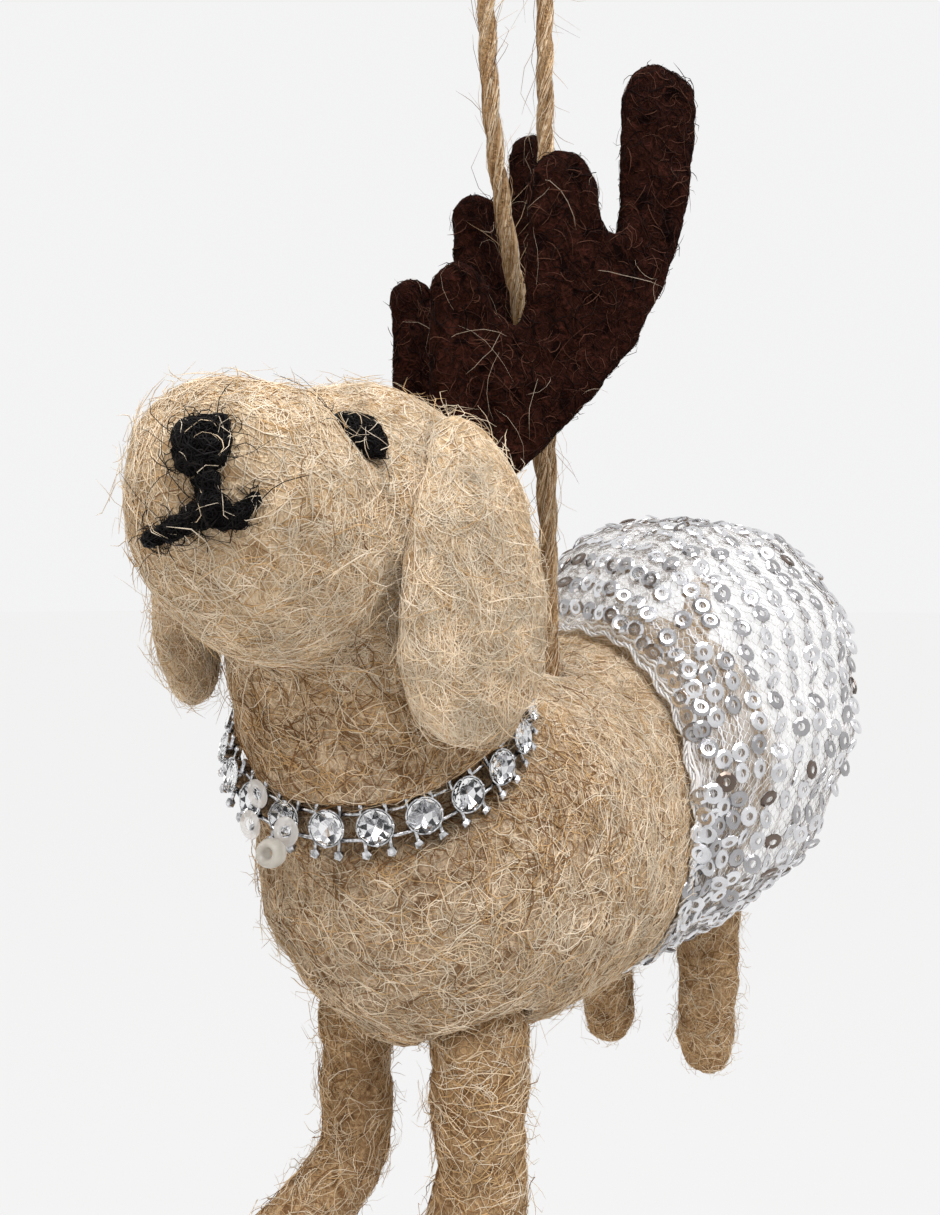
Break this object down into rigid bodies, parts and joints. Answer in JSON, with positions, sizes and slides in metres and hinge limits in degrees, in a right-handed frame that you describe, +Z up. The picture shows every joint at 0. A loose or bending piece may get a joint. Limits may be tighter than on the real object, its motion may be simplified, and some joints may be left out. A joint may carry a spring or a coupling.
{
  "type": "christmas ornament",
  "caption": "Needle-felted wool dog that hangs from a twine loop, with felt antlers, a rhinestone collar and a sequined net skirt.",
  "frame": {"origin": "the inside top of the twine loop, where the hook bears", "axes": "+Z up along the twine, -Y the way the dog faces, +X to the dog's left"},
  "size_m": [0.0539, 0.116, 0.1547],
  "materials": {
    "wool": "needle-felted beige wool with loose surface fibres",
    "dark_wool": "needle-felted black wool",
    "antler_felt": "thick dark brown felt, cut to shape",
    "net": "white net with silver sequins",
    "silver": "bright silver-plated cups and links",
    "crystal": "clear foiled glass rhinestones",
    "milky": "translucent milky plastic",
    "jute": "twisted jute twine",
    "steel_wire": "soft bare wire"
  },
  "bodies": {
    "dog": {"torso": "wool", "neck": "wool", "head": "wool", "muzzle": "wool", "nose": "dark_wool", "mouth": "dark_wool", "left_eye": "dark_wool", "right_eye": "dark_wool", "left_antler": "antler_felt", "right_antler": "antler_felt", "tail": "wool", "skirt": "net", "skirt_waistband": "net", "twine_loop": "jute", "twine_knot": "jute"},
    "left_front_leg": {"left_front_leg": "wool", "left_front_leg_wire": "steel_wire"},
    "right_front_leg": {"right_front_leg": "wool", "right_front_leg_wire": "steel_wire"},
    "left_rear_leg": {"left_rear_leg": "wool", "left_rear_leg_wire": "steel_wire"},
    "right_rear_leg": {"right_rear_leg": "wool", "right_rear_leg_wire": "steel_wire"},
    "left_ear": {"left_ear": "wool"},
    "right_ear": {"right_ear": "wool"},
    "collar": {"collar_chain": "silver", "collar_stone_01": "crystal", "collar_stone_02": "crystal", "collar_stone_03": "crystal", "collar_stone_04": "crystal", "collar_stone_05": "crystal", "collar_stone_06": "crystal", "collar_stone_07": "crystal", "collar_stone_08": "crystal", "collar_stone_09": "crystal", "collar_stone_10": "crystal", "collar_stone_11": "crystal", "collar_stone_12": "crystal", "collar_stone_13": "crystal", "collar_stone_14": "crystal", "collar_stone_15": "crystal", "collar_stone_16": "crystal", "collar_stone_17": "crystal", "collar_stone_18": "crystal", "collar_stone_19": "crystal", "collar_stone_20": "crystal", "collar_stone_21": "crystal", "collar_stone_22": "crystal", "collar_bead": "milky", "collar_sequin_1": "milky", "collar_sequin_2": "milky", "collar_sequin_3": "milky"}
  },
  "joints": [
    {"name": "left_front_hip", "type": "hinge", "parent": "dog", "child": "left_front_leg", "pos_m": [0.0039, -0.013, -0.1249], "axis": [1, 0, 0], "range_deg": [-15, 15]},
    {"name": "right_front_hip", "type": "hinge", "parent": "dog", "child": "right_front_leg", "pos_m": [-0.0131, -0.013, -0.1249], "axis": [1, 0, 0], "range_deg": [-15, 15]},
    {"name": "left_rear_hip", "type": "hinge", "parent": "dog", "child": "left_rear_leg", "pos_m": [0.0042, 0.048, -0.1224], "axis": [1, 0, 0], "range_deg": [-15, 15]},
    {"name": "right_rear_hip", "type": "hinge", "parent": "dog", "child": "right_rear_leg", "pos_m": [-0.0134, 0.048, -0.1224], "axis": [1, 0, 0], "range_deg": [-15, 15]},
    {"name": "left_ear_seam", "type": "hinge", "parent": "dog", "child": "left_ear", "pos_m": [0.01027, -0.02582, -0.0641], "axis": [-0.5, -0.866, 0], "range_deg": [0, 50], "stiffness_Nm_per_rad": 0.0004},
    {"name": "right_ear_seam", "type": "hinge", "parent": "dog", "child": "right_ear", "pos_m": [-0.01496, -0.03118, -0.0641], "axis": [-0.5, 0.866, 0], "range_deg": [0, 50], "stiffness_Nm_per_rad": 0.0004},
    {"name": "collar_turn", "type": "hinge", "parent": "dog", "child": "collar", "pos_m": [-0.0056, -0.0183, -0.0916], "axis": [0.2334, -0.5437, 0.8061], "range_deg": [-30, 30]}
  ]
}
